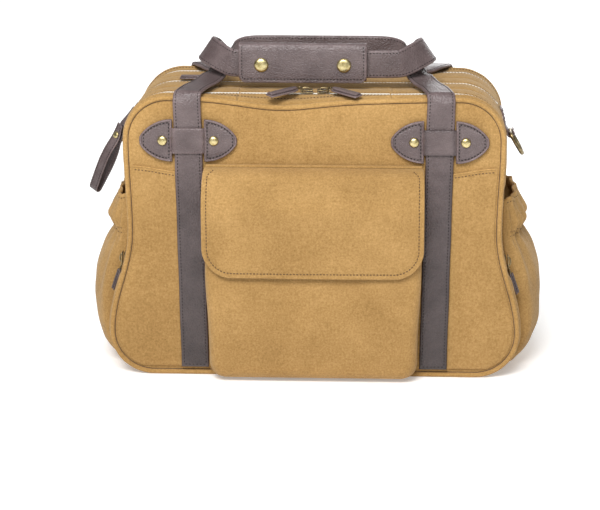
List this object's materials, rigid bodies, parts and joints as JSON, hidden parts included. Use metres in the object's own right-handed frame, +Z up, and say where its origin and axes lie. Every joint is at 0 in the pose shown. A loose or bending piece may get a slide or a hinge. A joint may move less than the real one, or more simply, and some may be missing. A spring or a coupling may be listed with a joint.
{
  "type": "doctor bag",
  "caption": "Canvas travel bag with leather handles, zipped top compartments, a front flap pocket, side pockets and rings for a shoulder strap.",
  "frame": {"origin": "centre of the flat underside, on the surface the bag stands on", "axes": "+X to the viewer's right along the width, +Y from the front to the back, +Z up"},
  "size_m": [0.468, 0.2322, 0.3369],
  "materials": {
    "canvas": "heavy cotton canvas, tan",
    "lining": "woven lining",
    "leather": "pebbled, dark plum brown, satin",
    "brass": "pale brass, brushed and domed",
    "antique_brass": "antique brass",
    "board": "stiffening board",
    "zip_tape": "cream woven zip tape and coil",
    "thread": "sewing thread"
  },
  "bodies": {
    "bag": {"front_panel": "canvas", "rear_panel": "canvas", "gusset_left": "canvas", "gusset_right": "canvas", "base_panel": "canvas", "base_board": "board", "divider_front": "lining", "divider_rear": "lining", "front_piping": "canvas", "rear_piping": "canvas", "top_strip_front": "canvas", "top_strip_rear": "canvas", "front_pocket": "canvas", "pocket_magnet": "antique_brass", "front_strip_left": "leather", "front_strip_right": "leather", "rear_strip_left": "leather", "rear_strip_right": "leather", "front_tab_left": "leather", "front_tab_right": "leather", "rear_tab_left": "leather", "rear_tab_right": "leather", "front_rivet_left_outer": "brass", "front_rivet_left_inner": "brass", "front_rivet_right_outer": "brass", "front_rivet_right_inner": "brass", "side_pocket_left": "canvas", "side_pocket_right": "canvas", "d_ring_tab_left": "leather", "d_ring_tab_right": "leather", "loop_tab": "leather"},
    "pocket_flap": {"pocket_flap": "canvas", "flap_magnet": "antique_brass"},
    "front_handle": {"front_handle_strap": "leather", "handle_wrap": "leather"},
    "wrap_flap": {"handle_wrap_flap": "leather", "snap_cap_left": "brass", "snap_cap_right": "brass"},
    "rear_handle": {"rear_handle_strap": "leather"},
    "lip_front": {"lip_front": "canvas"},
    "lip_main_front": {"lip_main_front": "canvas"},
    "lip_main_rear": {"lip_main_rear": "canvas"},
    "lip_rear": {"lip_rear": "canvas"},
    "loop_strap": {"loop_strap": "leather", "loop_rivet": "brass"},
    "front_zip_slider_left": {"front_zip_slider_left": "antique_brass"},
    "front_zip_slider_right": {"front_zip_slider_right": "antique_brass"},
    "main_zip_slider": {"main_zip_slider": "antique_brass"},
    "rear_zip_slider": {"rear_zip_slider": "antique_brass"},
    "side_zip_slider_left": {"side_zip_slider_left": "antique_brass"},
    "side_zip_slider_right": {"side_zip_slider_right": "antique_brass"},
    "front_zip_pull_left": {"front_zip_pull_left": "leather"},
    "front_zip_pull_right": {"front_zip_pull_right": "leather"},
    "main_zip_pull": {"main_zip_pull": "leather"},
    "rear_zip_pull": {"rear_zip_pull": "leather"},
    "side_zip_pull_left": {"side_zip_pull_left": "leather"},
    "side_zip_pull_right": {"side_zip_pull_right": "leather"},
    "d_ring_left": {"d_ring_left": "antique_brass"},
    "d_ring_right": {"d_ring_right": "antique_brass"}
  },
  "joints": [
    {"name": "flap_hinge", "type": "hinge", "parent": "bag", "child": "pocket_flap", "pos_m": [0, -0.0995, 0.2165], "axis": [-1, 0, 0], "range_deg": [0, 104]},
    {"name": "front_handle_swing", "type": "hinge", "parent": "bag", "child": "front_handle", "pos_m": [0, -0.093, 0.287], "axis": [1, 0, 0], "range_deg": [0, 96]},
    {"name": "wrap_flap_hinge", "type": "hinge", "parent": "front_handle", "child": "wrap_flap", "pos_m": [0, -0.0528, 0.3306], "axis": [-1, 0, 0], "range_deg": [0, 120]},
    {"name": "rear_handle_swing", "type": "hinge", "parent": "bag", "child": "rear_handle", "pos_m": [0, 0.093, 0.287], "axis": [-1, 0, 0], "range_deg": [0, 96]},
    {"name": "lip_front_fold", "type": "hinge", "parent": "bag", "child": "lip_front", "pos_m": [0, -0.035, 0.2844], "axis": [1, 0, 0], "range_deg": [0, 78]},
    {"name": "lip_main_front_fold", "type": "hinge", "parent": "bag", "child": "lip_main_front", "pos_m": [0, -0.031, 0.2844], "axis": [-1, 0, 0], "range_deg": [0, 78]},
    {"name": "lip_main_rear_fold", "type": "hinge", "parent": "bag", "child": "lip_main_rear", "pos_m": [0, 0.031, 0.2844], "axis": [1, 0, 0], "range_deg": [0, 78]},
    {"name": "lip_rear_fold", "type": "hinge", "parent": "bag", "child": "lip_rear", "pos_m": [0, 0.035, 0.2844], "axis": [-1, 0, 0], "range_deg": [0, 78]},
    {"name": "front_zip_left", "type": "slide", "parent": "bag", "child": "front_zip_slider_left", "axis": [-1, 0, 0], "range_m": [0, 0.062]},
    {"name": "front_zip_right", "type": "slide", "parent": "bag", "child": "front_zip_slider_right", "axis": [1, 0, 0], "range_m": [0, 0.062]},
    {"name": "main_zip", "type": "slide", "parent": "bag", "child": "main_zip_slider", "axis": [1, 0, 0], "range_m": [0, 0.214]},
    {"name": "rear_zip", "type": "slide", "parent": "bag", "child": "rear_zip_slider", "axis": [1, 0, 0], "range_m": [0, 0.168]},
    {"name": "side_zip_left", "type": "slide", "parent": "bag", "child": "side_zip_slider_left", "axis": [0.0538, 0, 0.9986], "range_m": [0, 0.06]},
    {"name": "side_pull_left", "type": "hinge", "parent": "side_zip_slider_left", "child": "side_zip_pull_left", "pos_m": [-0.19787, -0.078, 0.11164], "axis": [0, 1, 0], "range_deg": [0, 80]},
    {"name": "side_zip_right", "type": "slide", "parent": "bag", "child": "side_zip_slider_right", "axis": [-0.0538, 0, 0.9986], "range_m": [0, 0.06]},
    {"name": "side_pull_right", "type": "hinge", "parent": "side_zip_slider_right", "child": "side_zip_pull_right", "pos_m": [0.19787, -0.078, 0.11164], "axis": [0, -1, 0], "range_deg": [0, 80]},
    {"name": "front_pull_left", "type": "hinge", "parent": "front_zip_slider_left", "child": "front_zip_pull_left", "pos_m": [-0.01425, -0.07118, 0.2924], "axis": [-0.6428, 0.766, 0], "range_deg": [0, 80]},
    {"name": "front_pull_right", "type": "hinge", "parent": "front_zip_slider_right", "child": "front_zip_pull_right", "pos_m": [0.01425, -0.07118, 0.2924], "axis": [-0.6428, -0.766, 0], "range_deg": [0, 80]},
    {"name": "main_pull", "type": "hinge", "parent": "main_zip_slider", "child": "main_zip_pull", "pos_m": [-0.1145, 0, 0.2924], "axis": [0, 1, 0], "range_deg": [0, 50]},
    {"name": "rear_pull", "type": "hinge", "parent": "rear_zip_slider", "child": "rear_zip_pull", "pos_m": [-0.084, 0.0735, 0.2924], "axis": [1, 0, 0], "range_deg": [0, 80]},
    {"name": "d_ring_left_swing", "type": "hinge", "parent": "bag", "child": "d_ring_left", "pos_m": [-0.1985, 0, 0.236], "axis": [0, 1, 0], "range_deg": [-28, 60]},
    {"name": "d_ring_right_swing", "type": "hinge", "parent": "bag", "child": "d_ring_right", "pos_m": [0.1985, 0, 0.236], "axis": [0, -1, 0], "range_deg": [-28, 60]},
    {"name": "loop_strap_swing", "type": "hinge", "parent": "bag", "child": "loop_strap", "pos_m": [-0.1985, -0.036, 0.247], "axis": [0, 1, 0], "range_deg": [-8, 60]}
  ],
  "couplings": [
    {"joint": "lip_front_fold", "follows": "front_zip_right", "rad_per_m": 21.9},
    {"joint": "lip_main_front_fold", "follows": "main_zip", "rad_per_m": 6.35},
    {"joint": "lip_main_rear_fold", "follows": "main_zip", "rad_per_m": 6.35},
    {"joint": "lip_rear_fold", "follows": "rear_zip", "rad_per_m": 8.1}
  ]
}
